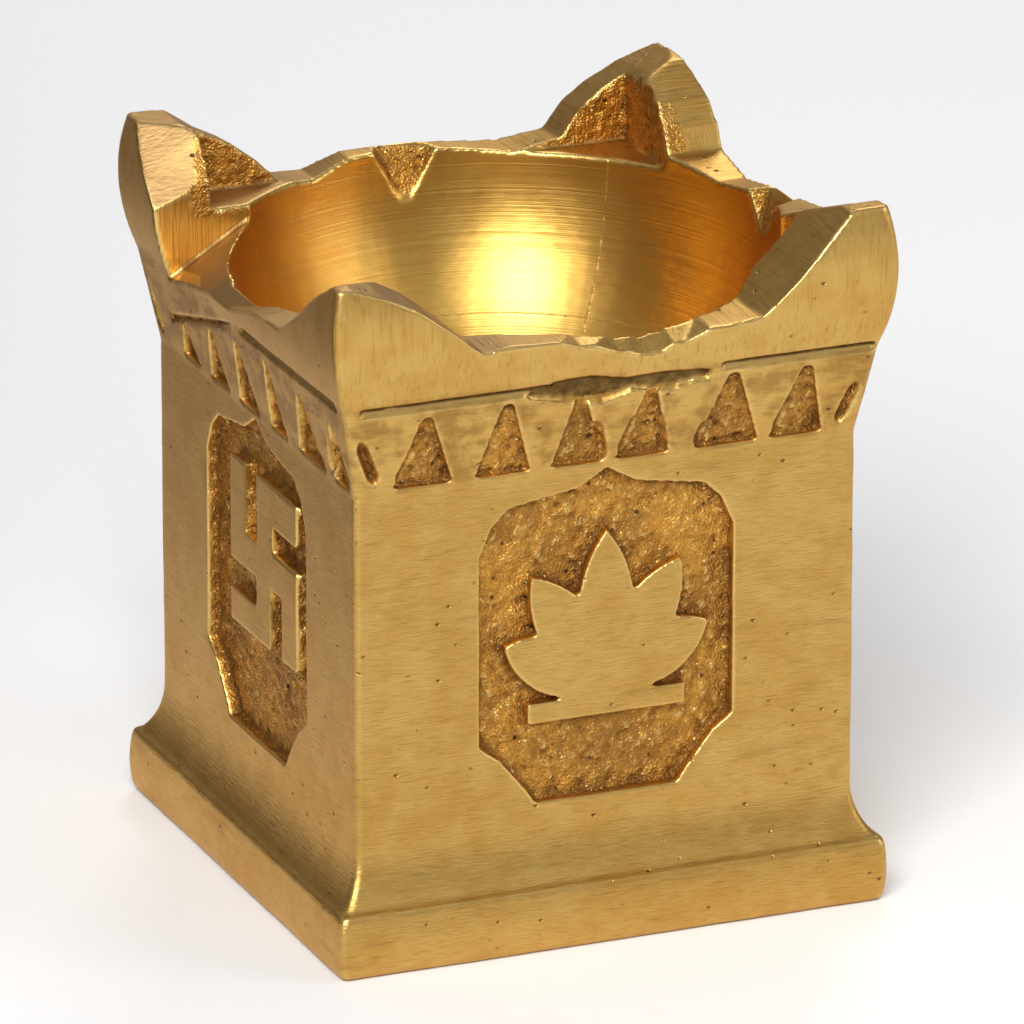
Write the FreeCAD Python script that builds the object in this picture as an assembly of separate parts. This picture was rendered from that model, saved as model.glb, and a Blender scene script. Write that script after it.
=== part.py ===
import FreeCAD
import Part
import math
import os

from FreeCAD import Vector

# A small sand-cast brass pot for a temple shelf, square, with four horns and a turned bowl.
# The origin is at the middle of the underside, Z is up and the front face looks along -Y.
# Every side is drawn as seen from outside: s runs to the right along it, z runs up.

# Plinth and walls, in millimetres
plinth_half = 30.0
plinth_bulge = 0.2
plinth_edge = 7.0
foot_rounding = 1.0
arris_rounding = 0.7
cove_top = 12.2
cove_hollow = 0.35
wall_half = 27.3
band_bottom = 50.4
groove_height = 60.0
groove_half = 29.1
crown_half = 30.6
crown_widest = 68.5
crown_limit = 77.0
crown_limit_half = 28.9
corner_rounding = 0.8

# Turned bowl
rim_height = 66.0
rim_radius = 28.2
bowl_waist_height = 53.5
bowl_waist_radius = 24.6
bowl_floor_height = 39.3
bowl_floor_radius = 9.0

# Corner horns and the cast hollow inside each
crown_cut_depth = 11.4
hollow_floor = 66.2
hollow_draft = 1.0
hollow_end = 11.3

# Cast notches in the bowl's edge
notch_tip_half = 0.9
notch_tip_inset = 0.8
notch_width_height = 67.0
notch_top_height = 73.0
notch_reach = 2.6

# Sunk panels with their raised figures
panel_depth = 1.3
panel_half_width = 13.8
panel_bottom = 15.4
panel_sill_half = 7.8
panel_hip_low = 22.0
panel_hip_high = 42.5
panel_shoulder = 47.2
panel_shoulder_half = 10.6
panel_peak = 50.2

# Lotus on the front
lotus_base = 27.0
lotus_height = 16.6
lotus_petal_width = 6.0
lotus_heart_rise = 2.4
lotus_heart_radius = 3.6
water_bottom = 23.8
water_height = 2.2
water_half = 8.6

# Water pot on the back
pot_middle = 31.6
pot_radius = 7.2
pot_ring_height = 2.0
pot_foot_bottom = 23.6
pot_foot_half = 3.6
pot_lip_bottom = 38.0
pot_lip_half = 4.4
nut_middle = 43.0
nut_radius = 2.4
leaf_lean = 58.0
leaf_length = 9.0
leaf_width = 3.4

# Oil lamp on the right side
lamp_rim = 34.0
lamp_half = 9.4
lamp_belly = 6.6
lamp_stem_half = 1.6
lamp_foot_bottom = 23.6
lamp_foot_height = 2.2
lamp_foot_half = 5.6
flame_gap = 1.6
flame_height = 9.6
flame_width = 5.4

# Band of chiselled teeth
tooth_depth = 0.85
tooth_bottom = 51.0
chisel_width = 1.5
chisel_depth = 1.5
chisel_overshoot = 0.15
chisel_point = 0.22
groove_depth = 0.9
groove_width = 1.7
worn_depth = 0.55

# Hollow underside, closing plate and solder
core_half = 22.8
core_top = 33.5
core_rounding = 4.0
plate_half = 25.8
plate_thickness = 1.5
plate_recess = 0.6
plate_clearance = 0.15
plate_rounding = 3.0
solder_width = 0.9
solder_height = 0.45

# How far cutting tools reach past the metal
reach = 10.0

# Top edge of the crown on each side: place along the side, height, rise per mm inwards
CROWN_EDGES = {
    "front": [
        (-34.0, 73.2, 0.15), (-28.6, 73.3, 0.15), (-25.4, 72.3, 0.15), (-21.8, 70.7, 0.1),
        (-17.9, 67.8, 0.05), (-14.6, 65.1, 0.0), (-11.6, 65.5, 0.0), (-7.0, 65.3, 0.0),
        (4.0, 64.9, 0.0), (12.0, 64.6, 0.0), (15.7, 65.1, 0.0), (19.5, 68.5, 0.0),
        (23.3, 72.5, 0.0), (25.5, 74.6, 0.0), (27.3, 75.0, 0.0), (34.0, 74.6, 0.0),
    ],
    "right": [
        (-34.0, 75.2, 0.0), (-27.0, 74.6, 0.0), (-19.0, 71.8, 0.0), (-12.4, 69.2, 0.0),
        (-5.4, 68.3, -0.1), (1.6, 67.4, -0.1), (7.9, 66.4, 0.0), (14.3, 67.6, 0.0),
        (15.6, 70.2, 0.0), (17.4, 72.5, 0.0), (22.4, 75.2, 0.0), (34.0, 75.8, 0.0),
    ],
    "back": [
        (-34.0, 75.8, 0.1), (-30.5, 75.2, 0.1), (-25.3, 73.4, 0.1), (-21.4, 71.3, 0.1),
        (-19.1, 69.5, 0.1), (-17.0, 66.8, 0.1), (-11.6, 66.2, 0.0), (-0.9, 67.2, 0.0),
        (5.8, 67.1, 0.0), (10.3, 65.7, 0.0), (14.6, 65.8, 0.1), (16.6, 68.1, 0.1),
        (19.7, 70.5, 0.1), (22.3, 71.8, 0.1), (25.6, 74.2, 0.0), (34.0, 74.6, 0.0),
    ],
    "left": [
        (-34.0, 78.0, 0.6), (-27.9, 75.2, 0.7), (-22.8, 69.9, 0.6), (-18.2, 65.0, 0.3),
        (-14.0, 64.4, 0.1), (0.0, 64.4, 0.0), (9.0, 64.5, 0.0), (14.3, 64.8, 0.0),
        (19.0, 67.4, 0.1), (24.0, 71.0, 0.1), (28.1, 73.4, 0.1), (34.0, 74.2, 0.1),
    ],
}

# Walls round the cast hollow at the left end of each side: beyond its left end, behind its face
HORN_WALLS = {
    "front": (5.3, 5.3),
    "right": (9.2, 5.3),
    "back": (6.4, 5.3),
    "left": (5.0, 6.5),
}

# Notches: left and right edge, place of the tip, height of the tip
NOTCHES = {
    "back": (-4.1, 2.8, -0.4, 61.6),
    "right": (-5.5, 2.3, -2.0, 63.0),
    "left": (-5.4, 1.0, -3.6, 62.8),
}

# Filed facets that fall outwards from the bowl's edge: place, height at the bowl, height outside
FACETS = {
    "front": [
        (-8.0, 65.6, 65.6), (-4.0, 65.1, 64.3), (0.1, 64.8, 62.5), (2.6, 64.6, 61.4),
        (4.3, 64.6, 61.6), (6.0, 64.7, 63.0), (10.8, 64.9, 65.0),
    ],
    "left": [
        (-19.8, 65.2, 57.4), (-6.2, 64.4, 60.6), (6.5, 64.4, 64.0), (10.6, 64.8, 64.9),
    ],
}

# Teeth of the band: foot left, foot right, peak place, peak height
TEETH = {
    "front": [
        (-23.2, -16.8, -20.0, 58.6), (-14.4, -8.4, -11.3, 58.9), (-6.2, -0.4, -3.4, 58.3),
        (0.8, 6.6, 4.3, 58.5), (9.4, 16.4, 13.2, 59.0), (17.6, 23.4, 21.3, 58.7),
    ],
    "left": [
        (-19.4, -14.8, -17.8, 54.8), (-11.6, -6.4, -9.6, 56.8), (-3.6, 1.8, -1.8, 58.2),
        (5.0, 9.6, 6.8, 58.8), (12.8, 20.2, 15.6, 58.0), (22.4, 26.4, 24.2, 57.6),
    ],
    "right": [
        (-24.0, -18.0, -21.2, 58.6), (-16.2, -10.2, -13.0, 58.4), (-8.0, -2.2, -5.2, 58.9),
        (0.4, 6.2, 3.4, 58.5), (8.6, 14.8, 11.8, 58.7), (17.2, 23.2, 20.0, 58.3),
    ],
    "back": [
        (-23.6, -17.4, -20.6, 58.4), (-15.2, -9.4, -12.2, 58.8), (-7.0, -1.0, -4.2, 58.4),
        (1.2, 7.0, 4.0, 58.7), (9.2, 15.6, 12.2, 58.9), (17.8, 24.0, 21.0, 58.5),
    ],
}

# Single chisel strokes: foot place, foot height, head place, head height
CHISEL_STROKES = {
    "front": [
        (-24.8, 51.2, -27.4, 57.4), (-23.0, 51.0, -20.4, 56.4), (-0.3, 50.9, -1.7, 56.0),
        (1.2, 51.0, 3.2, 56.4), (6.2, 50.7, 5.0, 56.2), (9.6, 51.1, 10.8, 54.2),
        (17.9, 51.0, 20.9, 57.2), (23.1, 50.9, 21.0, 56.2), (24.8, 51.2, 27.2, 56.6),
    ],
    "left": [
        (-25.2, 51.2, -26.9, 56.2), (1.0, 51.2, -1.6, 56.0), (19.4, 51.2, 15.4, 57.0),
        (26.4, 51.2, 24.6, 56.6), (21.6, 51.2, 23.0, 56.0),
    ],
    "right": [
        (-25.6, 51.2, -27.1, 56.2), (-18.0, 51.0, -20.4, 56.8), (-2.4, 51.0, -4.6, 56.4),
        (0.6, 51.0, 2.6, 56.2), (17.2, 51.0, 19.4, 56.6), (25.4, 51.1, 27.1, 56.4),
    ],
    "back": [
        (-25.4, 51.1, -27.0, 56.2), (-23.4, 51.0, -21.2, 56.6), (-9.6, 51.0, -11.6, 56.4),
        (7.0, 50.9, 4.8, 56.4), (18.0, 51.0, 20.4, 56.8), (25.4, 51.2, 27.1, 56.6),
    ],
}

# Broken-out patch of the casting above the front's middle teeth: place, height
WORN_PATCH = [
    (-9.6, 59.6), (-6.4, 60.7), (-2.6, 60.9), (1.2, 60.2), (5.4, 60.3), (10.8, 59.9),
    (10.4, 58.8), (6.2, 58.2), (2.0, 58.6), (-1.2, 57.7), (-5.4, 58.3), (-8.8, 58.9),
]

# Ruled grooves above the teeth: start place, start height, end place, end height
GROOVES = {
    "front": [(-27.4, 60.0, -7.2, 60.0), (11.6, 60.0, 28.6, 60.0)],
    "left": [(-21.6, 54.4, -2.0, 59.7), (0.6, 60.2, 27.2, 60.3)],
    "right": [(-28.0, 60.0, -3.5, 60.0), (4.0, 60.0, 27.6, 60.0)],
    "back": [(-27.2, 60.0, 10.4, 60.0), (13.2, 60.0, 28.0, 60.0)],
}

# Side petals of the lotus: lean from upright, length
LOTUS_PETALS = [(33.0, 15.0), (64.0, 12.4)]

# The lucky cross on the left side and the slots cut into it: left, bottom, right, top
CROSS_BOX = (-7.2, 26.5, 11.2, 44.4)
CROSS_SLOTS = [
    (-3.0, 37.0, 0.2, 45.4), (4.6, 37.2, 12.2, 40.0),
    (-8.2, 30.0, 0.0, 33.2), (3.8, 25.5, 7.0, 33.2),
]

SIDE_TURNS = {"front": 0.0, "right": 90.0, "back": 180.0, "left": 270.0}


def side_face(points):
    """A face on the XZ plane through a ring of (s, z) points."""
    ring = [Vector(s, 0.0, z) for s, z in points]
    return Part.Face(Part.makePolygon(ring + [ring[0]]))


def turned(shape, side):
    """A copy of a shape made for the front, turned to another side."""
    copy = shape.copy()
    copy.rotate(Vector(0, 0, 0), Vector(0, 0, 1), SIDE_TURNS[side])
    return copy


def polyhedron(corners, faces):
    """A solid from its corners and the corner numbers of each flat face."""
    skins = []
    for face in faces:
        ring = [corners[index] for index in face]
        skins.append(Part.Face(Part.makePolygon(ring + [ring[0]])))
    return Part.makeSolid(Part.makeShell(skins))


def rounded_square(half, radius, z):
    """The outline of a level square with round corners."""
    straight = half - radius
    turn = radius * (1.0 - math.sqrt(0.5))
    edges = []
    for quarter in range(4):
        angle = 90.0 * quarter
        side = Part.LineSegment(Vector(-straight, -half, z), Vector(straight, -half, z)).toShape()
        corner = Part.Arc(
            Vector(straight, -half, z),
            Vector(half - turn, -half + turn, z),
            Vector(half, -straight, z),
        ).toShape()
        for edge in (side, corner):
            edge.rotate(Vector(0, 0, 0), Vector(0, 0, 1), angle)
            edges.append(edge)
    return Part.Wire(edges)


def level_block(half, radius, bottom, top):
    """An upright block with round corners."""
    face = Part.Face(rounded_square(half, radius, bottom))
    return face.extrude(Vector(0, 0, top - bottom))


def stretch_block(sections):
    """A block through level rounded squares given as (half width, height)."""
    wires = [rounded_square(half, corner_rounding, z) for half, z in sections]
    straight_sides = len(sections) == 2
    return Part.makeLoft(wires, True, straight_sides)


def outer_stretches(inset):
    """The pot's outline from foot to crown, drawn in by an inset: two sections make a straight
    stretch and three make a round one."""
    plinth = plinth_half - inset
    wall = wall_half - inset
    foot_turn = foot_rounding * (1.0 - math.sqrt(0.5))
    arris_turn = arris_rounding * (1.0 - math.sqrt(0.5))
    arris_low = plinth_edge - arris_rounding
    ledge = plinth - arris_rounding
    foot = [(plinth - foot_rounding, 0.0), (plinth - foot_turn, foot_turn), (plinth, foot_rounding)]
    bulge = [foot[-1], (plinth + plinth_bulge, plinth_edge * 0.5), (plinth, arris_low)]
    arris = [bulge[-1], (plinth - arris_turn, plinth_edge - arris_turn), (ledge, plinth_edge)]
    cove_half = (ledge + wall) * 0.5 - cove_hollow
    cove_height = (plinth_edge + cove_top) * 0.5 - cove_hollow
    cove = [arris[-1], (cove_half, cove_height), (wall, cove_top)]
    flat = [cove[-1], (wall, band_bottom)]
    band = [flat[-1], (groove_half - inset, groove_height)]
    crown = [band[-1], (crown_half - inset, crown_widest), (crown_limit_half - inset, crown_limit)]
    return [foot, bulge, arris, cove, flat, band, crown]


def outer_block(inset):
    """The square pot as cast, solid and flat on top, drawn in by an inset."""
    blocks = [stretch_block(sections) for sections in outer_stretches(inset)]
    return blocks[0].multiFuse(blocks[1:]).removeSplitter()


def crown_cutter(side):
    """Everything above the filed top edge of one side."""
    outside = crown_half + reach
    inside = crown_half - crown_cut_depth
    sections = []
    for depth in (outside, inside):
        ring = []
        for s, z, rise in CROWN_EDGES[side]:
            ring.append(Vector(s, -depth, z + rise * (crown_half - depth)))
        last = CROWN_EDGES[side][-1][0]
        first = CROWN_EDGES[side][0][0]
        ring.append(Vector(last, -depth, crown_limit + reach))
        ring.append(Vector(first, -depth, crown_limit + reach))
        sections.append(Part.makePolygon(ring + [ring[0]]))
    return turned(Part.makeLoft(sections, True, True), side)


def facet_cutter(side):
    """Everything above the filed facets of one side, from the bowl's edge outwards."""
    stations = FACETS[side]
    outside = crown_half + 1.0
    top = crown_limit + reach
    count = len(stations)
    inner = []
    outer = []
    for s, inner_z, outer_z in stations:
        inner.append(Vector(s, 1.0 - math.sqrt(rim_radius**2 - s**2), inner_z))
        outer.append(Vector(s, -outside, outer_z))
    corners = inner + outer
    corners += [Vector(point.x, point.y, top) for point in corners]
    over = 2 * count
    faces = [
        (0, count, over + count, over),
        (count - 1, 2 * count - 1, over + 2 * count - 1, over + count - 1),
        tuple(range(over, over + count)) + tuple(range(over + 2 * count - 1, over + count - 1, -1)),
    ]
    for index in range(count - 1):
        outer_index = count + index
        faces.append((index, index + 1, outer_index))
        faces.append((index + 1, outer_index + 1, outer_index))
        faces.append((index, index + 1, over + index + 1, over + index))
        faces.append((outer_index, outer_index + 1, over + outer_index + 1, over + outer_index))
    return turned(polyhedron(corners, faces), side)


def bowl_cutter():
    """The space turned out of the casting, from its floor to above the horns."""
    floor_middle = Vector(0, 0, bowl_floor_height)
    floor_edge = Vector(bowl_floor_radius, 0, bowl_floor_height)
    waist = Vector(bowl_waist_radius, 0, bowl_waist_height)
    rim = Vector(rim_radius, 0, rim_height)
    rim_top = Vector(rim_radius, 0, crown_limit + reach)
    axis_top = Vector(0, 0, crown_limit + reach)
    edges = [
        Part.LineSegment(floor_middle, floor_edge).toShape(),
        Part.Arc(floor_edge, waist, rim).toShape(),
        Part.LineSegment(rim, rim_top).toShape(),
        Part.LineSegment(rim_top, axis_top).toShape(),
        Part.LineSegment(axis_top, floor_middle).toShape(),
    ]
    return Part.Face(Part.Wire(edges)).revolve(Vector(0, 0, 0), Vector(0, 0, 1), 360)


def hollow_cutter(side):
    """The drafted cast hollow inside the horn at the left end of a side."""
    end_wall, face_wall = HORN_WALLS[side]
    sections = []
    for draft, z in ((0.0, hollow_floor), (hollow_draft, crown_limit + reach)):
        left = -(crown_half - end_wall + draft)
        outer = -(crown_half - face_wall + draft)
        right = -hollow_end
        ring = [
            Vector(left, outer, z),
            Vector(right, outer, z),
            Vector(right, right, z),
            Vector(left, right, z),
        ]
        sections.append(Part.makePolygon(ring + [ring[0]]))
    return turned(Part.makeLoft(sections, True, True), side)


def notch_cutter(side):
    """The tapered cast notch in the bowl's edge at the middle of a side."""
    left, right, tip, tip_height = NOTCHES[side]
    grown = (notch_top_height - tip_height) / (notch_width_height - tip_height)
    left_top = tip + (left - tip) * grown
    right_top = tip + (right - tip) * grown
    inside = -rim_radius + notch_tip_inset
    low = [
        Vector(tip - notch_tip_half, inside, tip_height),
        Vector(tip + notch_tip_half, inside, tip_height),
        Vector(tip + notch_tip_half * 0.5, inside - 0.2, tip_height),
        Vector(tip - notch_tip_half * 0.5, inside - 0.2, tip_height),
    ]
    outer = inside - notch_reach * grown
    high = [
        Vector(left_top, inside + 1.0, notch_top_height),
        Vector(right_top, inside + 1.0, notch_top_height),
        Vector(right_top * 0.7 + tip * 0.3, outer, notch_top_height),
        Vector(left_top * 0.7 + tip * 0.3, outer, notch_top_height),
    ]
    sections = [Part.makePolygon(ring + [ring[0]]) for ring in (low, high)]
    return turned(Part.makeLoft(sections, True, True), side)


def through_wall(face):
    """A tool drawn on the XZ plane, pushed through the front wall."""
    tool = face.copy()
    tool.translate(Vector(0, -crown_half - reach, 0))
    return tool.extrude(Vector(0, 2.0 * reach, 0))


def panel_outline():
    """The stepped octagon of a sunk panel with its peak."""
    sill = panel_bottom + 1.4
    half = [
        (panel_sill_half, panel_bottom),
        (panel_sill_half + 0.9, sill),
        (panel_half_width - 2.2, panel_hip_low - 1.6),
        (panel_half_width, panel_hip_low),
        (panel_half_width, panel_hip_high),
        (panel_half_width - 1.4, panel_shoulder - 1.6),
        (panel_shoulder_half, panel_shoulder),
        (panel_shoulder_half * 0.3, panel_shoulder + 1.2),
        (0.0, panel_peak),
    ]
    left = [(-s, z) for s, z in reversed(half[:-1])]
    return side_face(half + left)


def petal(place, height, length, width, lean):
    """One pointed petal standing on a point and leaning to the right by an angle."""
    foot = Vector(0, 0, 0)
    tip = Vector(0, 0, length)
    right = Part.Arc(foot, Vector(width * 0.5, 0, length * 0.45), tip).toShape()
    left = Part.Arc(tip, Vector(-width * 0.5, 0, length * 0.45), foot).toShape()
    face = Part.Face(Part.Wire([right, left]))
    face.rotate(foot, Vector(0, 1, 0), lean)
    face.translate(Vector(place, 0, height))
    return face


def bar(left, bottom, right, top):
    """An upright rectangle on the XZ plane."""
    return side_face([(left, bottom), (right, bottom), (right, top), (left, top)])


def disc(place, height, radius):
    """A round face on the XZ plane."""
    circle = Part.Circle(Vector(place, 0, height), Vector(0, -1, 0), radius)
    return Part.Face(Part.Wire([circle.toShape()]))


def lotus_faces():
    """An open lotus over a water line, for the front."""
    base = lotus_base
    faces = [petal(0, base, lotus_height, lotus_petal_width, 0)]
    for lean, length in LOTUS_PETALS:
        faces.append(petal(0, base, length, lotus_petal_width, lean))
        faces.append(petal(0, base, length, lotus_petal_width, -lean))
    faces.append(disc(0, base + lotus_heart_rise, lotus_heart_radius))
    faces.append(bar(-water_half, water_bottom, water_half, water_bottom + water_height))
    return faces


def lucky_cross_faces():
    """The Hindu sign of good fortune, arms turned clockwise, level, for the left side."""
    whole = bar(*CROSS_BOX)
    return [whole.cut([bar(*slot) for slot in CROSS_SLOTS])]


def water_pot_faces():
    """A round water pot with leaves and a nut on top, for the back."""
    faces = [disc(0, pot_middle, pot_radius), disc(0, nut_middle, nut_radius)]
    faces.append(bar(-pot_foot_half, pot_foot_bottom, pot_foot_half, pot_foot_bottom + pot_ring_height))
    faces.append(bar(-pot_lip_half, pot_lip_bottom, pot_lip_half, pot_lip_bottom + pot_ring_height))
    for lean in (leaf_lean, -leaf_lean):
        faces.append(petal(0, pot_lip_bottom + pot_ring_height * 0.7, leaf_length, leaf_width, lean))
    return faces


def oil_lamp_faces():
    """A footed oil lamp with its flame, for the right side."""
    rim_left = Vector(-lamp_half, 0, lamp_rim)
    rim_right = Vector(lamp_half, 0, lamp_rim)
    belly = Part.Arc(rim_left, Vector(0, 0, lamp_rim - lamp_belly), rim_right).toShape()
    lid = Part.LineSegment(rim_right, rim_left).toShape()
    foot_top = lamp_foot_bottom + lamp_foot_height
    return [
        Part.Face(Part.Wire([belly, lid])),
        bar(-lamp_stem_half, foot_top - 0.8, lamp_stem_half, lamp_rim - lamp_belly * 0.6),
        bar(-lamp_foot_half, lamp_foot_bottom, lamp_foot_half, foot_top),
        petal(0, lamp_rim + flame_gap, flame_height, flame_width, 0),
    ]


FIGURES = {
    "front": lotus_faces,
    "left": lucky_cross_faces,
    "back": water_pot_faces,
    "right": oil_lamp_faces,
}


def panel_cutter(side, inset_block):
    """The sunk panel of one side, with its figure left standing."""
    figure = [through_wall(face) for face in FIGURES[side]()]
    return turned(through_wall(panel_outline()).cut(figure).cut(inset_block), side)


def tooth_cutters(side, inset_block):
    """The sunk triangles of one side's band."""
    teeth = []
    for left, right, peak, height in TEETH[side]:
        outline = side_face([
            (left, tooth_bottom), (right, tooth_bottom), (peak + 0.5, height), (peak - 0.5, height),
        ])
        teeth.append(turned(through_wall(outline).cut(inset_block), side))
    return teeth


def band_half(z):
    """Half the width of the pot at a height in the band."""
    share = (z - band_bottom) / (groove_height - band_bottom)
    return wall_half + share * (groove_half - wall_half)


def chisel_cutter(side, foot, foot_z, head, head_z):
    """One chisel stroke, a groove pointed at both ends."""
    start = Vector(foot, -band_half(foot_z) - chisel_overshoot, foot_z)
    end = Vector(head, -band_half(head_z) - chisel_overshoot, head_z)
    along = end - start
    across = Vector(along.z, 0, -along.x).normalize() * (chisel_width * 0.5)
    near = start + along * chisel_point
    far = end - along * chisel_point
    deep = Vector(0, chisel_depth, 0)
    corners = [start, near + across, far + across, end, far - across, near - across]
    corners += [near + deep, far + deep]
    faces = [
        (0, 1, 6), (1, 2, 7, 6), (2, 3, 7),
        (3, 4, 7), (4, 5, 6, 7), (5, 0, 6),
        (0, 5, 4, 3, 2, 1),
    ]
    return turned(polyhedron(corners, faces), side)


def groove_cutter(side, start, start_z, end, end_z):
    """One run of the ruled groove above the teeth."""
    sections = []
    for s, z in ((start, start_z), (end, end_z)):
        surface = band_half(z)
        ring = [
            Vector(s, -surface - 1.0, z + groove_width * 0.4),
            Vector(s, -surface + groove_depth, z + groove_width * 0.2),
            Vector(s, -surface - 1.0, z - groove_width),
        ]
        sections.append(Part.makePolygon(ring + [ring[0]]))
    return turned(Part.makeLoft(sections, True, True), side)


def underside_cutter():
    """The cored hollow with the step that takes the closing plate."""
    step_top = plate_recess + plate_thickness
    step_half = plate_half + plate_clearance
    step = level_block(step_half, plate_rounding, -reach, step_top)
    core = level_block(core_half, core_rounding, 0.0, core_top)
    return step.fuse(core)


def build_body():
    """The casting with everything cut into it."""
    body = outer_block(0.0)
    tools = []
    panel_block = outer_block(panel_depth)
    tooth_block = outer_block(tooth_depth)
    for side in SIDE_TURNS:
        tools.append(crown_cutter(side))
        tools.append(hollow_cutter(side))
        tools.append(panel_cutter(side, panel_block))
        tools.extend(tooth_cutters(side, tooth_block))
        for stroke in CHISEL_STROKES[side]:
            tools.append(chisel_cutter(side, *stroke))
        for run in GROOVES[side]:
            tools.append(groove_cutter(side, *run))
    tools.append(through_wall(side_face(WORN_PATCH)).cut(outer_block(worn_depth)))
    for side in NOTCHES:
        tools.append(notch_cutter(side))
    for side in FACETS:
        tools.append(facet_cutter(side))
    tools.append(bowl_cutter())
    tools.append(underside_cutter())
    for tool in tools:
        body = body.cut(tool)
    return body


def build_plate():
    """The sheet that closes the hollow underside."""
    return level_block(plate_half, plate_rounding, plate_recess, plate_recess + plate_thickness)


def build_solder():
    """The bead of solder in the corner between the plate and the casting."""
    outer_half = plate_half + plate_clearance
    bottom = plate_recess - solder_height
    block = level_block(outer_half, plate_rounding, bottom, plate_recess)
    inner_top = rounded_square(outer_half - solder_width, plate_rounding, plate_recess)
    inner_bottom = rounded_square(outer_half - 0.1, plate_rounding, bottom)
    return block.cut(Part.makeLoft([inner_bottom, inner_top], True, True))


def main():
    """Write one STEP file for each piece."""
    os.makedirs("parts", exist_ok=True)
    pieces = {
        "cast_body": build_body(),
        "base_plate": build_plate(),
        "solder_seam": build_solder(),
    }
    for name, shape in pieces.items():
        solids = shape.Solids
        box = shape.optimalBoundingBox(True, False)
        print(name, "solids", len(solids), "valid", shape.isValid(), "volume", round(shape.Volume, 1))
        print("  box", [round(value, 2) for value in (box.XLength, box.YLength, box.ZLength, box.ZMin)])
        solids[0].exportStep("parts/" + name + ".step")


if __name__ == "__main__":
    main()
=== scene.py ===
"""A small square brass shrine pot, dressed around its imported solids."""

import math

import bpy
import numpy as np
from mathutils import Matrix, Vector


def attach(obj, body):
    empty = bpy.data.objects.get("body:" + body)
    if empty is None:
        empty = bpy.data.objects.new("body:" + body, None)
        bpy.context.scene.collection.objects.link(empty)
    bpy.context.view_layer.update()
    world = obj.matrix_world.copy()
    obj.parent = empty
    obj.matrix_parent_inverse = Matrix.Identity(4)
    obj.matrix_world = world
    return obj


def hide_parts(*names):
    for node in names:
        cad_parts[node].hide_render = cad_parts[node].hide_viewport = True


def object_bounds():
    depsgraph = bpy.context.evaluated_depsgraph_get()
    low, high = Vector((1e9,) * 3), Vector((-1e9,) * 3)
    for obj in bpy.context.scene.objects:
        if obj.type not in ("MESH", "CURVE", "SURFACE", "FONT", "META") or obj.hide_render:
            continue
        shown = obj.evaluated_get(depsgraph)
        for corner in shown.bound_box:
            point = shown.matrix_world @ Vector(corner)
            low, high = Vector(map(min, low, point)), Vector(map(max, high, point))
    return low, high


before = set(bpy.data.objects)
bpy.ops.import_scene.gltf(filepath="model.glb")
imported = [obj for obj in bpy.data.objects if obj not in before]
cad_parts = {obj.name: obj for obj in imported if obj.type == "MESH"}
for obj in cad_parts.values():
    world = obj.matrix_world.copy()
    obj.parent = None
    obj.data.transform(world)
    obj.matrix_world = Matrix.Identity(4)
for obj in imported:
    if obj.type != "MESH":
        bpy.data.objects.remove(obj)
CAD_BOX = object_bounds()

bl_info = {
    "name": "Brass Shrine Pot",
    "version": (1, 0, 0),
    "blender": (4, 5, 0),
    "location": "3D View > Sidebar > Brass Pot",
    "description": "Dresses a sand-cast brass shrine pot and lights it for a studio picture",
    "category": "Object",
}

MM = 0.001

# Sizes of the casting, in millimetres, as its solids have them
PLINTH_HALF = 30.0
PLINTH_EDGE = 7.0
COVE_TOP = 12.2
WALL_HALF = 27.3
BAND_BOTTOM = 50.4
GROOVE_HEIGHT = 60.0
GROOVE_HALF = 29.1
CROWN_HALF = 30.6
CROWN_WIDEST = 68.5
CROWN_LIMIT = 77.0
CROWN_LIMIT_HALF = 28.9
RIM_HEIGHT = 66.0
RIM_RADIUS = 28.2
HOLLOW_END = 11.3
NOTCH_HALF = 6.0
TOOTH_DEPTH = 0.85
CORE_HALF = 22.8
CORE_TOP = 33.5
STEP_TOP = 2.1

# The bowl's wall is an arc about this point, by radius from the axis and height
BOWL_ARC_RADIUS = 31.64
BOWL_ARC_CENTRE = (-3.28, 68.46)
BOWL_FLOOR = 39.3

# How the casting's mesh is made, in millimetres and degrees
BOX_INSET = 0.002
CORE_OVERLAP = 0.4
PLATE_GAP = 0.15
BELOW_FOOT = -1.0
WEDGE_REACH = 40.0
SMOOTH_ANGLE = 60.0
RAGGED_CELL = 1.6
WAVY_CELL = 7.0
SAND_CELL = 0.7

# Viewpoint of the photograph, in degrees, metres and millimetres of lens
VIEW_AZIMUTH = -22.51
VIEW_ELEVATION = 19.70
VIEW_DISTANCE = 1.2
VIEW_LENS = 410.8
VIEW_SENSOR = 36.0
VIEW_TARGET = (0.00096, 0.0, 0.03635)

# The stage, in metres and watts: a lamp's name, place, width and height, power
LAMP_TARGET = (0, 0, 0.04)
LAMPS = (
    ("key", (-0.55, -0.85, 0.9), (0.7, 0.7), 16.5),
    ("fill", (0.9, -0.6, 0.5), (0.5, 0.7), 2.5),
    ("back", (0.5, 0.95, 0.9), (0.4, 0.4), 3.0),
)
FLOOR_WIDTH = 6.0
CARD_PLACE = (-0.115, 0.14, 0.06)
CARD_SIZE = (0.30, 0.16)
CARD_TURN = 90.0


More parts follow.
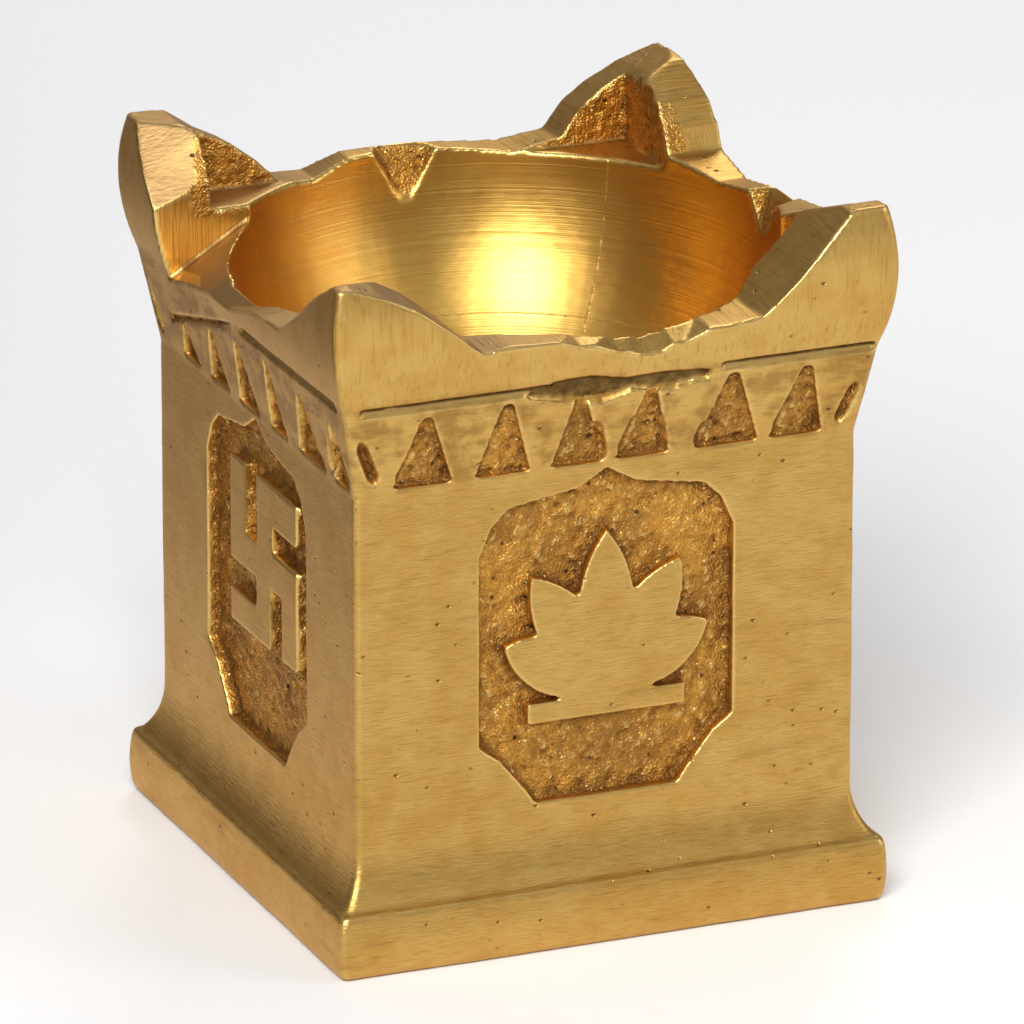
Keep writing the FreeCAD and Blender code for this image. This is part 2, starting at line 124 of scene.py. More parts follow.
class Sock:
    """A shader value that Python's own operators work on."""

    def __init__(self, finish, socket):
        self.finish = finish
        self.socket = socket

    def _math(self, operation, first, second=None, clamp=False):
        inputs = {0: first} if second is None else {0: first, 1: second}
        settings = {"operation": operation, "use_clamp": clamp}
        return self.finish.add("ShaderNodeMath", settings, inputs)

    def __add__(self, other):
        return self._math("ADD", self, other)

    def __radd__(self, other):
        return self._math("ADD", other, self)

    def __sub__(self, other):
        return self._math("SUBTRACT", self, other)

    def __rsub__(self, other):
        return self._math("SUBTRACT", other, self)

    def __mul__(self, other):
        return self._math("MULTIPLY", self, other)

    def __rmul__(self, other):
        return self._math("MULTIPLY", other, self)

    def __pow__(self, other):
        return self._math("POWER", self, other)

    def held(self):
        """The value kept between 0 and 1."""
        return self._math("ADD", self, 0.0, clamp=True)

    def ramp(self, low, high):
        """0 below low, 1 above high and smooth between."""
        settings = {"interpolation_type": "SMOOTHSTEP"}
        inputs = {"Value": self, "From Min": low, "From Max": high}
        return self.finish.add("ShaderNodeMapRange", settings, inputs, "Result")

    def most(self, other):
        """The larger of two values."""
        return self._math("MAXIMUM", self, other)


class Finish:
    """A material being built from nodes."""

    def __init__(self, name, tree=None):
        self.material = None
        self.tree = tree
        if tree is None:
            self.material = bpy.data.materials.new(name)
            self.material.use_nodes = True
            self.tree = self.material.node_tree
        self.tree.nodes.clear()

    def add(self, kind, settings=None, inputs=None, output=0):
        """Adds a node by its type, settings and inputs, and gives one of its outputs."""
        node = self.tree.nodes.new(kind)
        for name, value in (settings or {}).items():
            setattr(node, name, value)
        for name, value in (inputs or {}).items():
            if isinstance(value, Sock):
                self.tree.links.new(value.socket, node.inputs[name])
            else:
                node.inputs[name].default_value = value
        return Sock(self, node.outputs[output]) if len(node.outputs) else None

    def place(self):
        """Object coordinates in millimetres."""
        coordinates = self.add("ShaderNodeTexCoord", output="Object")
        return self.stretched(coordinates, (1.0 / MM, 1.0 / MM, 1.0 / MM))

    def stretched(self, vector, scale, shift=(0.0, 0.0, 0.0), turn=(0.0, 0.0, 0.0)):
        """A vector scaled along each axis, then turned and shifted."""
        settings = {"vector_type": "POINT"}
        inputs = {"Vector": vector, "Scale": scale, "Location": shift, "Rotation": turn}
        return self.add("ShaderNodeMapping", settings, inputs)

    def axes(self, vector):
        """The three parts of a vector."""
        first = self.add("ShaderNodeSeparateXYZ", inputs={0: vector})
        outputs = first.socket.node.outputs
        return [Sock(self, outputs[index]) for index in range(3)]

    def joined(self, x, y, z):
        """A vector from three values."""
        return self.add("ShaderNodeCombineXYZ", inputs={0: x, 1: y, 2: z})

    def noise(self, vector, scale, detail=2.0, rough=0.5, distortion=0.0):
        """Smooth noise from 0 to 1, with about scale cells to a unit."""
        inputs = {
            "Vector": vector,
            "Scale": scale,
            "Detail": detail,
            "Roughness": rough,
            "Distortion": distortion,
        }
        return self.add("ShaderNodeTexNoise", {"noise_dimensions": "3D"}, inputs)

    def cells(self, vector, scale, output="Distance", feature="F1"):
        """Distance to scattered points, or another output of the same pattern."""
        inputs = {"Vector": vector, "Scale": scale}
        return self.add("ShaderNodeTexVoronoi", {"feature": feature}, inputs, output)

    def mask(self, name):
        """A value painted on the mesh."""
        return self.add("ShaderNodeAttribute", {"attribute_name": name}, output="Fac")

    def blend(self, share, first, second):
        """One colour over another by a share."""
        settings = {"data_type": "RGBA", "clamp_factor": True}
        inputs = {0: share, 6: first, 7: second}
        return self.add("ShaderNodeMix", settings, inputs, output=2)

    def close(self, colour, roughness, height, distance, fixed):
        """Ends the material in one shader with a bump made from a height in millimetres."""
        inputs = {"Height": height, "Distance": distance, "Strength": 1.0}
        normal = self.add("ShaderNodeBump", inputs=inputs)
        values = {"Base Color": colour, "Roughness": roughness, "Normal": normal}
        values.update(fixed)
        shader = self.add("ShaderNodeBsdfPrincipled", inputs=values)
        self.add("ShaderNodeOutputMaterial", inputs={"Surface": shader})
        return self.material


def linear(red, green, blue):
    """A colour read off a picture, 0 to 255, as the values that shaders use."""
    parts = []
    for value in (red, green, blue):
        share = value / 255.0
        low = share <= 0.04045
        parts.append(share / 12.92 if low else ((share + 0.055) / 1.055) ** 2.4)
    return (*parts, 1.0)


BRASS_FACE = linear(206, 168, 94)
BRASS_WARM = linear(197, 154, 79)
# Pale brass for worn edges, also used for the painted highlights and glints.
BRASS_PALE = linear(238, 206, 132)
BRASS_BOWL = linear(214, 172, 88)
BRASS_GRAIN = linear(197, 144, 63)
# Painted shade for the left and right sides of the bowl.
BOWL_SIDE_SHADE = linear(168, 116, 46)
# Painted shade: the brown-grey of the filed rim's left side.
LEFT_RIM_SHADE = linear(150, 124, 94)
TARNISH = linear(122, 84, 44)
# Dark specks and pits in the grain, and painted shade in the groove and chisel strokes.
SOOT_AND_SHADE = linear(38, 25, 16)
GRAZING = linear(255, 236, 226)
ROOM_WALL = (0.24, 0.23, 0.24, 1.0)
ROOM_CEILING = (0.40, 0.40, 0.40, 1.0)
CARD_GREY = linear(128, 121, 121)
FLOOR_DARKER = linear(249, 249, 249)
FLOOR_PALER = linear(252, 252, 252)


def brass_finish():
    """Sand-cast brass: filed and brushed outside, turned in the bowl, grainy where it is sunk."""
    f = Finish("cast_brass")
    place = f.place()
    x, y, z = f.axes(place)
    grain = f.mask("grain")
    bowl = f.mask("bowl")
    filed = f.mask("filed")
    hollow = f.mask("hollow")
    edge_wear_and_highlight = f.mask("edge_wear_and_highlight")
    cut_shade = f.mask("cut_shade")
    crown = z.ramp(GROOVE_HEIGHT - 0.6, GROOVE_HEIGHT + 0.6) * (1.0 - filed)

    brushed = f.noise(f.stretched(place, (0.45, 0.45, 5.5), turn=(0.04, 0.03, 0.0)), 1.0, 3.0, 0.6)
    hairlines = f.noise(f.stretched(place, (0.5, 0.5, 16.0), turn=(0.06, 0.05, 0.0)), 1.0, 1.0)
    upright = f.noise(f.stretched(place, (3.4, 3.4, 0.14)), 1.0, 3.0, 0.6)
    facing = x.most(0.0 - x) - y.most(0.0 - y)
    across_x = f.noise(f.stretched(place, (3.0, 0.2, 3.0)), 1.0, 3.0, 0.6)
    across_y = f.noise(f.stretched(place, (0.2, 3.0, 3.0)), 1.0, 3.0, 0.6)
    on_sides = facing.ramp(-0.5, 0.5)
    across = across_x * (1.0 - on_sides) + across_y * on_sides
    clouds = f.noise(place, 0.08, 3.0, 0.6)
    blotches = f.noise(place, 0.32, 4.0, 0.62)
    stains = f.noise(f.stretched(place, (0.12, 0.12, 0.55)), 1.0, 4.0, 0.6)
    radius = (x * x + y * y) ** 0.5
    ring_place = f.joined(radius * 2.2 + blotches * 0.15, 0.0, z * 2.2 + blotches * 0.15)
    rings = f.noise(ring_place, 1.0, 3.0, 0.7)
    sand_coarse = f.noise(place, 1.1, 4.0, 0.6)
    sand_fine = f.cells(place, 3.4)
    glints = f.noise(place, 2.6, 1.0)
    pits = f.cells(f.stretched(place, (0.36, 0.36, 0.6)), 1.0)
    specks = f.cells(place, 0.85)

    plain = (1.0 - grain).held() * (1.0 - bowl).held()
    walls = plain * (1.0 - crown) * (1.0 - filed).held()

    height = walls * (brushed * 0.050 + hairlines * 0.022)
    height = height + plain * crown * upright * 0.075
    height = height + plain * filed * across * 0.050
    height = height + bowl * rings * 0.050
    height = height + grain * (sand_coarse * 0.24 - sand_fine * 0.12)
    dints = (1.0 - pits.ramp(0.04, 0.13)) * plain * blotches.ramp(0.40, 0.56)
    height = height - dints * 0.12

    colour = f.blend((clouds * 0.5 + blotches * 0.5).ramp(0.36, 0.66), BRASS_FACE, BRASS_WARM)
    colour = f.blend(walls * stains.ramp(0.56, 0.80) * 0.30, colour, TARNISH)
    colour = f.blend(walls * hairlines.ramp(0.52, 0.72) * 0.34, colour, TARNISH)
    colour = f.blend(plain * crown * upright.ramp(0.50, 0.72) * 0.30, colour, TARNISH)
    colour = f.blend(plain * filed * across.ramp(0.48, 0.70) * 0.35, colour, TARNISH)
    # Painted shade: the upward filed faces turn brown-grey towards the left side.
    shaded_left_rim = plain * filed * (1.0 - x.ramp(-16.0, 0.0))
    colour = f.blend(shaded_left_rim * 0.6, colour, LEFT_RIM_SHADE)
    colour = f.blend(bowl, colour, BRASS_BOWL)
    # Painted shade: the bowl darkens towards its left and right sides.
    colour = f.blend(bowl * x.most(0.0 - x).ramp(11.0, 24.0) * 0.7, colour, BOWL_SIDE_SHADE)
    colour = f.blend(bowl * rings.ramp(0.55, 0.75) * 0.25, colour, TARNISH)
    colour = f.blend(grain, colour, BRASS_GRAIN)
    patina = grain * (sand_coarse * 0.4 + clouds * 0.6).ramp(0.40, 0.58)
    colour = f.blend(patina * 0.55, colour, TARNISH)
    band = z.ramp(BAND_BOTTOM - 0.5, BAND_BOTTOM + 1.5) * (1.0 - z.ramp(60.2, 61.4)) * plain
    band = band * (blotches * 0.6 + stains * 0.4).ramp(0.44, 0.58)
    # Darker and rougher in the hollows.
    darker_hollows = (hollow * 1.3).held() * blotches.ramp(0.26, 0.52)
    colour = f.blend((darker_hollows * 0.8).most(band * 0.45), colour, TARNISH)
    soot = grain * (1.0 - specks.ramp(0.10, 0.30)) * blotches.ramp(0.46, 0.60)
    colour = f.blend(soot * 0.85, colour, SOOT_AND_SHADE)
    colour = f.blend(dints * 0.7, colour, SOOT_AND_SHADE)
    # Painted shade: the groove's downward faces and the chisel strokes are darkened.
    colour = f.blend(cut_shade * (0.45 + sand_coarse * 0.6), colour, SOOT_AND_SHADE)
    spots = plain * (1.0 - specks.ramp(0.03, 0.09)) * clouds.ramp(0.48, 0.62)
    colour = f.blend(spots * 0.6, colour, TARNISH)
    # Worn edges turn pale, with painted highlights on the groove's upward lower rim and painted
    # glints in the sand grain.
    worn_edges_and_highlights = (edge_wear_and_highlight * 0.55 + grain * glints.ramp(0.64, 0.76) * 0.6).held()
    colour = f.blend(worn_edges_and_highlights, colour, BRASS_PALE)

    roughness = 0.34 + brushed * 0.10 - bowl * 0.04 - edge_wear_and_highlight * 0.10
    # The painted-shade left side of the rim is also rougher.
    roughness = roughness + shaded_left_rim * 0.10
    roughness = roughness + grain * (0.10 - glints.ramp(0.56, 0.72) * 0.22) + darker_hollows * 0.15
    fixed = {"Metallic": 1.0, "Specular Tint": GRAZING}
    return f.close(colour, roughness, height, MM, fixed)


def sheet_finish():
    """Rolled brass sheet, dull and scuffed."""
    f = Finish("sheet_brass")
    place = f.place()
    clouds = f.noise(place, 0.12, 4.0, 0.6)
    rolled = f.noise(f.stretched(place, (0.05, 4.0, 1.0)), 1.0, 2.0, 0.6)
    stains = f.noise(place, 0.5, 3.0, 0.7)
    colour = f.blend(clouds.ramp(0.35, 0.65), linear(186, 150, 84), linear(150, 112, 58))
    colour = f.blend(stains.ramp(0.58, 0.70) * 0.7, colour, TARNISH)
    roughness = 0.40 + clouds * 0.15
    height = rolled * 0.02 + stains * 0.02
    return f.close(colour, roughness, height, MM, {"Metallic": 1.0})


def solder_finish():
    """Dull soft solder with a lumpy skin."""
    f = Finish("soft_solder")
    place = f.place()
    lumps = f.noise(place, 0.8, 3.0, 0.6)
    colour = f.blend(lumps.ramp(0.35, 0.65), linear(168, 166, 160), linear(120, 116, 108))
    return f.close(colour, 0.42 + lumps * 0.2, lumps * 0.12, MM, {"Metallic": 1.0})


def paper_finish(name, darker, paler):
    """Plain matt paper."""
    f = Finish(name)
    place = f.place()
    fibres = f.noise(place, 0.6, 2.0, 0.5)
    colour = f.blend(fibres, darker, paler)
    return f.close(colour, 0.9, fibres * 0.01, MM, {"Metallic": 0.0})


def select_only(*objects):
    """Leaves only these objects selected, the first of them active."""
    bpy.ops.object.select_all(action="DESELECT")
    for piece in objects:
        piece.select_set(True)
    bpy.context.view_layer.objects.active = objects[0]


def apply_modifier(piece, kind, **settings):
    """Adds a modifier with its settings and applies it at once."""
    select_only(piece)
    modifier = piece.modifiers.new(kind.title(), kind)
    for name, value in settings.items():
        setattr(modifier, name, value)
    bpy.ops.object.modifier_apply(modifier=modifier.name)


def copy_of_node(node, name):
    """A separate object with a node's mesh, its doubled points merged."""
    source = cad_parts[node]
    piece = bpy.data.objects.new(name, source.data.copy())
    bpy.context.scene.collection.objects.link(piece)
    piece.matrix_world = source.matrix_world
    piece.data.materials.clear()
    select_only(piece)
    bpy.ops.object.transform_apply(location=True, rotation=True, scale=True)
    bpy.ops.object.mode_set(mode="EDIT")
    bpy.ops.mesh.select_all(action="SELECT")
    bpy.ops.mesh.remove_doubles(threshold=0.001 * MM)
    bpy.ops.object.mode_set(mode="OBJECT")
    return piece


def vertex_places(piece):
    """The piece's points in millimetres."""
    places = np.empty(len(piece.data.vertices) * 3, np.float32)
    piece.data.vertices.foreach_get("co", places)
    return places.reshape(-1, 3).astype(float) / MM


def set_places(piece, places):
    """Puts the piece's points where they are given, in millimetres."""
    piece.data.vertices.foreach_set("co", (places * MM).astype(np.float32).ravel())
    piece.data.update()


def keep_in_box(piece):
    """Brings the few points that stray outside the solids' box back to it."""
    low, high = np.array([list(corner) for corner in CAD_BOX]) / MM
    set_places(piece, np.clip(vertex_places(piece), low + BOX_INSET, high - BOX_INSET))


def smooth_step(value, low, high):
    """0 at low, 1 at high and smooth between, whichever of the two is larger."""
    share = np.clip((value - low) / (high - low), 0.0, 1.0)
    return share * share * (3.0 - 2.0 * share)


def outer_half(z):
    """Half the width of the uncut pot at each height."""
    cove = WALL_HALF + (PLINTH_HALF - WALL_HALF) * (1.0 - smooth_step(z, PLINTH_EDGE, COVE_TOP))
    band = WALL_HALF + (z - BAND_BOTTOM) / (GROOVE_HEIGHT - BAND_BOTTOM) * (GROOVE_HALF - WALL_HALF)
    heights = (GROOVE_HEIGHT, CROWN_WIDEST, CROWN_LIMIT)
    curve = np.polyfit(heights, (GROOVE_HALF, CROWN_HALF, CROWN_LIMIT_HALF), 2)
    crown = np.polyval(curve, z)
    half = np.where(z < PLINTH_EDGE, PLINTH_HALF, cove)
    half = np.where(z > BAND_BOTTOM, band, half)
    return np.where(z > GROOVE_HEIGHT, crown, half)


def bowl_radius(z):
    """Radius of the turned bowl at each height."""
    rise = np.clip(z, BOWL_FLOOR, RIM_HEIGHT) - BOWL_ARC_CENTRE[1]
    arc = BOWL_ARC_CENTRE[0] + np.sqrt(BOWL_ARC_RADIUS**2 - rise**2)
    return np.where(z > RIM_HEIGHT, RIM_RADIUS, arc)


def set_mask(piece, name, values):
    """Keeps a value from 0 to 1 for each point, for the materials."""
    layer = piece.data.attributes.new(name, "FLOAT", "POINT")
    layer.data.foreach_set("value", np.clip(values, 0.0, 1.0).astype(np.float32))


def set_weights(piece, name, values, steps=10):
    """Keeps a value from 0 to 1 for each point, in a few steps, for a modifier."""
    group = piece.vertex_groups.new(name=name)
    rounded = np.round(np.clip(values, 0.0, 1.0) * steps).astype(int)
    for step in range(1, steps + 1):
        chosen = np.nonzero(rounded == step)[0]
        if len(chosen):
            group.add(chosen.tolist(), step / steps, "REPLACE")


def neighbour_mean(piece, values, rounds):
    """Values spread over each point's neighbours a number of times."""
    edges = np.empty(len(piece.data.edges) * 2, np.int32)
    piece.data.edges.foreach_get("vertices", edges)
    first, second = edges.reshape(-1, 2).T
    count = len(piece.data.vertices)
    degree = np.bincount(first, minlength=count) + np.bincount(second, minlength=count)
    columns = np.atleast_2d(values.T)
    for _ in range(rounds):
        spread = []
        for column in columns:
            total = np.bincount(first, column[second], count)
            total += np.bincount(second, column[first], count)
            spread.append(total / np.maximum(degree, 1))
        columns = np.array(spread)
    return columns[0] if values.ndim == 1 else columns.T


def vertex_normals(piece):
    """Each point's outward direction."""
    normals = np.empty(len(piece.data.vertices) * 3, np.float32)
    piece.data.vertex_normals.foreach_get("vector", normals)
    return normals.reshape(-1, 3).astype(float)


def bend_of_surface(piece, rounds):
    """How far each point stands proud of its surroundings, in millimetres."""
    places = vertex_places(piece)
    mean = neighbour_mean(piece, places, rounds)
    return ((places - mean) * vertex_normals(piece)).sum(1)


def paint_masks(piece):
    """Marks the grainy, turned and filed parts of the casting."""
    x, y, z = vertex_places(piece).T
    normal = vertex_normals(piece)
    side = np.maximum(abs(x), abs(y))
    along = np.minimum(abs(x), abs(y))
    radius = np.hypot(x, y)
    sunk = outer_half(z) - side
    from_bowl = radius - bowl_radius(z)
    turned = smooth_step(from_bowl, 0.22, 0.05) * (z > BOWL_FLOOR - 0.3)
    inwards = -(normal[:, 0] * x + normal[:, 1] * y) / np.maximum(radius, 0.1)
    deepest = np.where(z > BAND_BOTTOM, TOOTH_DEPTH + 0.12, 2.6)
    panels = smooth_step(sunk, 0.35, 0.75) * (sunk < deepest) * (z > COVE_TOP)
    panels = panels * (z < GROOVE_HEIGHT - 0.9) * (1.0 - turned)
    upright = smooth_step(abs(normal[:, 2]), 0.75, 0.5)
    pocket = upright * (inwards > 0.3) * (z > RIM_HEIGHT - 0.4) * (along > HOLLOW_END - 0.5)
    pocket = pocket * smooth_step(from_bowl, 0.3, 0.8) * (sunk > 4.2)
    notch = smooth_step(from_bowl, 0.12, 0.3) * (along < NOTCH_HALF) * (z > 61.0)
    notch = notch * (sunk > 0.5) * smooth_step(abs(normal[:, 2]), 0.9, 0.75) * (inwards > 0.25)
    grain = np.maximum(panels, np.maximum(pocket, notch))
    filed = smooth_step(normal[:, 2], 0.35, 0.6) * (z > GROOVE_HEIGHT) * (1.0 - turned)
    grain = neighbour_mean(piece, grain, 1)
    set_mask(piece, "grain", grain)
    set_weights(piece, "grain_weight", grain)
    set_mask(piece, "bowl", turned)
    set_mask(piece, "filed", filed * (1.0 - grain))


def paint_wear(piece):
    """Marks the worn edges, the darker hollows, the painted shade in the groove and chisel strokes,
    and the painted highlight on the groove's lower rim.
    """
    x, y, z = vertex_places(piece).T
    sunk = outer_half(z) - np.maximum(abs(x), abs(y))
    rise = vertex_normals(piece)[:, 2]
    groove = smooth_step(sunk, 0.15, 0.45) * (sunk < 1.7) * (abs(z - GROOVE_HEIGHT) < 1.5)
    stroke = smooth_step(sunk, TOOTH_DEPTH + 0.1, TOOTH_DEPTH + 0.35) * (sunk < 2.0)
    stroke = stroke * (z > BAND_BOTTOM) * (z < GROOVE_HEIGHT - 1.5)
    # Painted shade: the groove's downward faces and the deep chisel strokes.
    shade_in_cuts = np.maximum(groove * smooth_step(rise, 0.1, -0.2), stroke)
    # Painted highlight: the upward lower rim of the groove.
    lit_lip = groove * smooth_step(rise, 0.1, 0.4)
    near = bend_of_surface(piece, 3)
    wide = bend_of_surface(piece, 10)
    # Worn convex edges, together with the painted highlight of the groove's lower rim.
    set_mask(piece, "edge_wear_and_highlight", np.maximum(smooth_step(near, 0.02, 0.09), lit_lip))
    set_mask(piece, "hollow", smooth_step(-wide, 0.03, 0.20))
    set_mask(piece, "cut_shade", shade_in_cuts)


def noise_texture(name, kind, size, **settings):
    """A procedural pattern for a displace modifier, sized in millimetres."""
    texture = bpy.data.textures.new(name, kind)
    texture.noise_scale = size * MM
    for key, value in settings.items():
        setattr(texture, key, value)
    return texture


def displace(piece, texture, depth, group="", direction="NORMAL"):
    """Moves the surface by a pattern, depth in metres."""
    apply_modifier(
        piece, "DISPLACE", texture=texture, texture_coords="LOCAL", strength=depth,
        mid_level=0.5, vertex_group=group, direction=direction,
    )


def fill_core(piece):
    """Closes the hidden hollow under the bowl, which the base plate covers."""
    half = CORE_HALF + CORE_OVERLAP
    bottom = STEP_TOP + PLATE_GAP
    top = CORE_TOP + CORE_OVERLAP
    bpy.ops.object.select_all(action="DESELECT")
    middle = (0.0, 0.0, (bottom + top) * 0.5 * MM)
    bpy.ops.mesh.primitive_cube_add(size=1.0, location=middle)
    block = bpy.context.active_object
    block.scale = (2.0 * half * MM, 2.0 * half * MM, (top - bottom) * MM)
    select_only(block)
    bpy.ops.object.transform_apply(location=True, rotation=True, scale=True)
    apply_modifier(piece, "BOOLEAN", operation="UNION", solver="MANIFOLD", object=block)
    bpy.data.objects.remove(block)


def wedge(name, quarter, low, high):
    """A block between two heights that holds one side of the pot, mitred at its corners."""
    ring = [(0.0, 0.0), (-WEDGE_REACH, -WEDGE_REACH), (WEDGE_REACH, -WEDGE_REACH)]
    turn = math.radians(90.0 * quarter)
    points = []
    for z in (low, high):
        for x, y in ring:
            across = x * math.cos(turn) - y * math.sin(turn)
            deep = x * math.sin(turn) + y * math.cos(turn)
            points.append((across * MM, deep * MM, z * MM))
    count = len(ring)
    faces = [tuple(reversed(range(count))), tuple(range(count, 2 * count))]
    for index in range(count):
        after = (index + 1) % count
        faces.append((index, after, count + after, count + index))
    mesh = bpy.data.meshes.new(name)
    mesh.from_pydata(points, [], faces)
    block = bpy.data.objects.new(name, mesh)
    bpy.context.scene.collection.objects.link(block)
    return block


def cut_part(piece, name, quarter, low, high):
    """A closed copy of what of the piece lies on one side and between two heights."""
    part = bpy.data.objects.new(name, piece.data.copy())
    bpy.context.scene.collection.objects.link(part)
    block = wedge(name + "_block", quarter, low, high)
    apply_modifier(part, "BOOLEAN", operation="INTERSECT", solver="MANIFOLD", object=block)
    bpy.data.objects.remove(block)
    return part


# The casting's parts for the library: name, side counted round from the front, lowest, highest
PARTS = (
    ("front_foot", 0, BELOW_FOOT, COVE_TOP),
    ("right_foot", 1, BELOW_FOOT, COVE_TOP),
    ("back_foot", 2, BELOW_FOOT, COVE_TOP),
    ("left_foot", 3, BELOW_FOOT, COVE_TOP),
    ("front_wall", 0, COVE_TOP, BAND_BOTTOM),
    ("right_wall", 1, COVE_TOP, BAND_BOTTOM),
    ("back_wall", 2, COVE_TOP, BAND_BOTTOM),
    ("left_wall", 3, COVE_TOP, BAND_BOTTOM),
    ("front_crown", 0, BAND_BOTTOM, CROWN_LIMIT),
    ("right_crown", 1, BAND_BOTTOM, CROWN_LIMIT),
    ("back_crown", 2, BAND_BOTTOM, CROWN_LIMIT),
    ("left_crown", 3, BAND_BOTTOM, CROWN_LIMIT),
)


class PotSizes(bpy.types.PropertyGroup):
    """The sizes that set how coarse the casting looks."""

    voxel: bpy.props.FloatProperty(
        name="Mesh size", description="Size of the casting's mesh cells",
        default=0.25 * MM, min=0.0001, unit="LENGTH",
    )
    waviness: bpy.props.FloatProperty(
        name="Waviness", description="How far the filed faces wander from flat",
        default=0.16 * MM, min=0.0, unit="LENGTH",
    )
    ragged: bpy.props.FloatProperty(
        name="Ragged edges", description="How far the sunk edges wander",
        default=0.6 * MM, min=0.0, unit="LENGTH",
    )
    grain: bpy.props.FloatProperty(
        name="Sand grain", description="Depth of the cast grain",
        default=0.22 * MM, min=0.0, unit="LENGTH",
    )


class POT_OT_casting(bpy.types.Operator):
    """Builds the visible casting around its solid"""

    bl_idname = "pot.casting"
    bl_label = "Casting"

    def execute(self, context):
        sizes = context.scene.pot_sizes
        casting = copy_of_node("cast_body", "casting")
        fill_core(casting)
        apply_modifier(casting, "REMESH", mode="VOXEL", voxel_size=sizes.voxel, adaptivity=0.0)
        apply_modifier(casting, "SMOOTH", factor=0.5, iterations=2)
        paint_masks(casting)
        ragged = noise_texture("ragged", "CLOUDS", RAGGED_CELL, noise_depth=2)
        displace(casting, ragged, sizes.ragged, "grain_weight", "RGB_TO_XYZ")
        wavy = noise_texture("wavy", "CLOUDS", WAVY_CELL, noise_depth=1)
        displace(casting, wavy, sizes.waviness)
        grain = noise_texture("sand", "CLOUDS", SAND_CELL, noise_depth=2)
        displace(casting, grain, sizes.grain, "grain_weight")
        keep_in_box(casting)
        paint_wear(casting)
        finish = brass_finish()
        for name, quarter, low, high in PARTS:
            piece = cut_part(casting, name, quarter, low, high)
            piece.data.materials.clear()
            piece.data.materials.append(finish)
            select_only(piece)
            bpy.ops.object.shade_smooth_by_angle(angle=math.radians(SMOOTH_ANGLE))
            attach(piece, "root")
            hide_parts("cast_body")
            piece.data.calc_loop_triangles()
            print(name, "triangles", len(piece.data.loop_triangles))
        bpy.data.objects.remove(casting)
        return {"FINISHED"}


class POT_OT_underside(bpy.types.Operator):
    """Gives the closing plate and its solder their finishes"""

    bl_idname = "pot.underside"
    bl_label = "Underside"

    def execute(self, context):
        for node, finish in (("base_plate", sheet_finish()), ("solder_seam", solder_finish())):
            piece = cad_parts[node]
            piece.data.materials.clear()
            piece.data.materials.append(finish)
        return {"FINISHED"}


def add_lamp(name, place, target, size, power):
    """A soft square lamp that points at a target."""
    data = bpy.data.lights.new(name, "AREA")
    data.shape = "RECTANGLE"
    data.size, data.size_y = size
    data.energy = power
    lamp = bpy.data.objects.new(name, data)
    bpy.context.scene.collection.objects.link(lamp)
    lamp.location = place
    aim = Vector(target) - Vector(place)
    lamp.rotation_euler = aim.to_track_quat("-Z", "Y").to_euler()


def studio_world():
    """A dim room with a pale ceiling, for the metal to mirror."""
    world = bpy.data.worlds.new("studio")
    world.use_nodes = True
    room = Finish(None, world.node_tree)
    coordinates = room.add("ShaderNodeTexCoord", output="Generated")
    rise = room.axes(coordinates)[2]
    colour = room.blend(rise.ramp(0.25, 0.85), ROOM_WALL, ROOM_CEILING)
    lit = room.add("ShaderNodeBackground", inputs={"Color": colour, "Strength": 1.0})
    room.add("ShaderNodeOutputWorld", inputs={"Surface": lit})
    return world


def add_card(name, place, size, turn, finish_colour):
    """An upright grey card beside the picture, which only the metal shows."""
    bpy.ops.object.select_all(action="DESELECT")
    bpy.ops.mesh.primitive_plane_add(size=1.0, location=place)
    card = bpy.context.active_object
    card.name = name
    card.scale = (size[0], size[1], 1.0)
    card.rotation_euler = (math.radians(90.0), 0.0, math.radians(turn))
    card.data.materials.append(paper_finish(name, finish_colour, finish_colour))


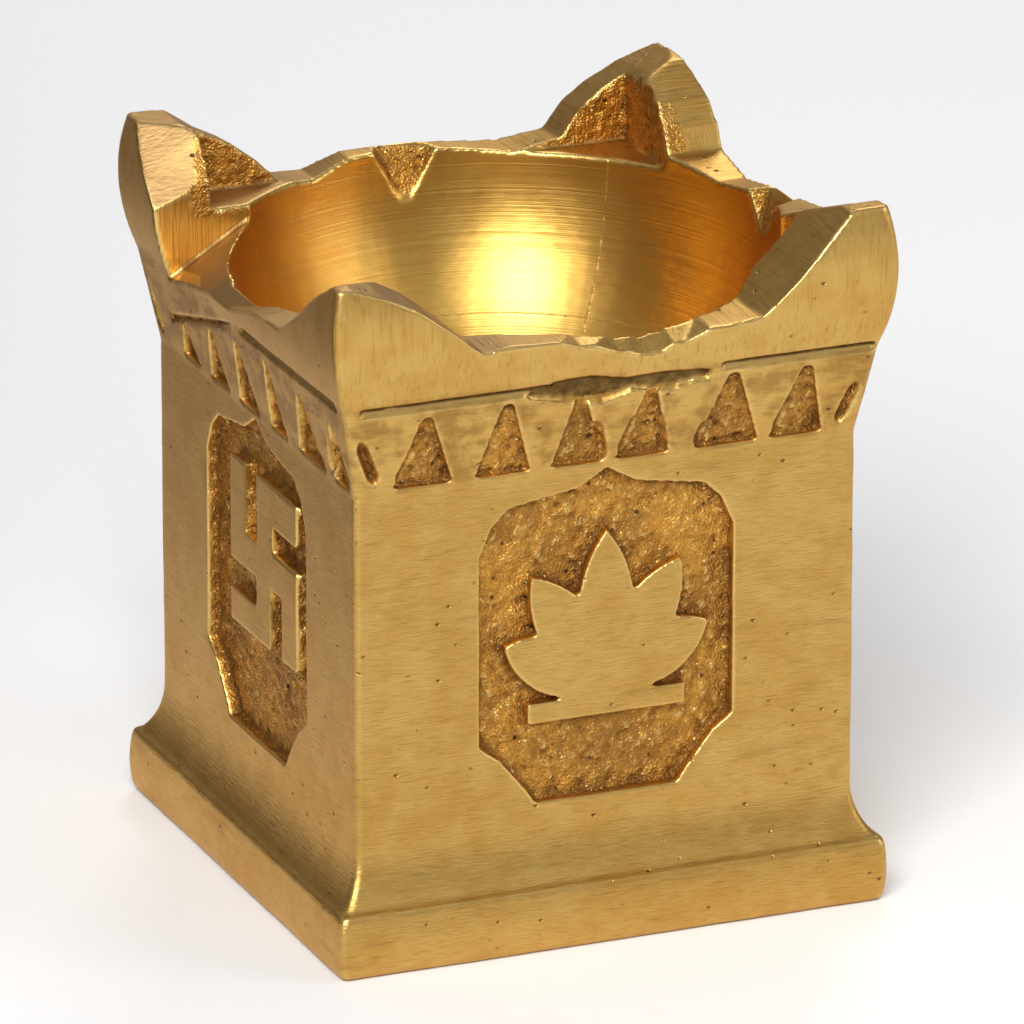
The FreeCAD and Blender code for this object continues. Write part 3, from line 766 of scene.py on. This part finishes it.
class POT_OT_stage(bpy.types.Operator):
    """Sets the camera, the lamps, the floor and the world"""

    bl_idname = "pot.stage"
    bl_label = "Stage"

    def execute(self, context):
        scene = context.scene
        scene.view_settings.view_transform = "Standard"
        azimuth = math.radians(VIEW_AZIMUTH)
        elevation = math.radians(VIEW_ELEVATION)
        back = Vector((
            math.sin(azimuth) * math.cos(elevation),
            -math.cos(azimuth) * math.cos(elevation),
            math.sin(elevation),
        ))
        data = bpy.data.cameras.new("view")
        data.sensor_width = VIEW_SENSOR
        data.lens = VIEW_LENS
        data.clip_end = 20.0
        camera = bpy.data.objects.new("view", data)
        scene.collection.objects.link(camera)
        camera.location = Vector(VIEW_TARGET) + back * VIEW_DISTANCE
        camera.rotation_euler = (-back).to_track_quat("-Z", "Y").to_euler()
        scene.camera = camera

        bpy.ops.object.select_all(action="DESELECT")
        bpy.ops.mesh.primitive_plane_add(size=FLOOR_WIDTH, location=(0.0, 0.0, 0.0))
        floor = bpy.context.active_object
        floor.name = "floor"
        floor.data.materials.append(paper_finish("paper", FLOOR_DARKER, FLOOR_PALER))

        add_card("left_card", CARD_PLACE, CARD_SIZE, CARD_TURN, CARD_GREY)
        for name, place, size, power in LAMPS:
            add_lamp(name, place, LAMP_TARGET, size, power)
        scene.world = studio_world()
        return {"FINISHED"}


class POT_PT_panel(bpy.types.Panel):
    """Lists the pot's steps in the sidebar"""

    bl_idname = "POT_PT_panel"
    bl_label = "Brass Pot"
    bl_space_type = "VIEW_3D"
    bl_region_type = "UI"
    bl_category = "Brass Pot"

    def draw(self, context):
        sizes = context.scene.pot_sizes
        for name in sizes.bl_rna.properties.keys():
            if name not in ("rna_type", "name"):
                self.layout.prop(sizes, name)
        for step in STEPS:
            self.layout.operator(step.bl_idname)


STEPS = (POT_OT_stage, POT_OT_casting, POT_OT_underside)
CLASSES = (PotSizes, *STEPS, POT_PT_panel)


def register():
    for kind in CLASSES:
        bpy.utils.register_class(kind)
    bpy.types.Scene.pot_sizes = bpy.props.PointerProperty(type=PotSizes)


def unregister():
    del bpy.types.Scene.pot_sizes
    for kind in reversed(CLASSES):
        bpy.utils.unregister_class(kind)


def main():
    """Builds the whole scene."""
    register()
    bpy.ops.pot.stage()
    bpy.ops.pot.casting()
    bpy.ops.pot.underside()


if __name__ == "__main__":
    main()
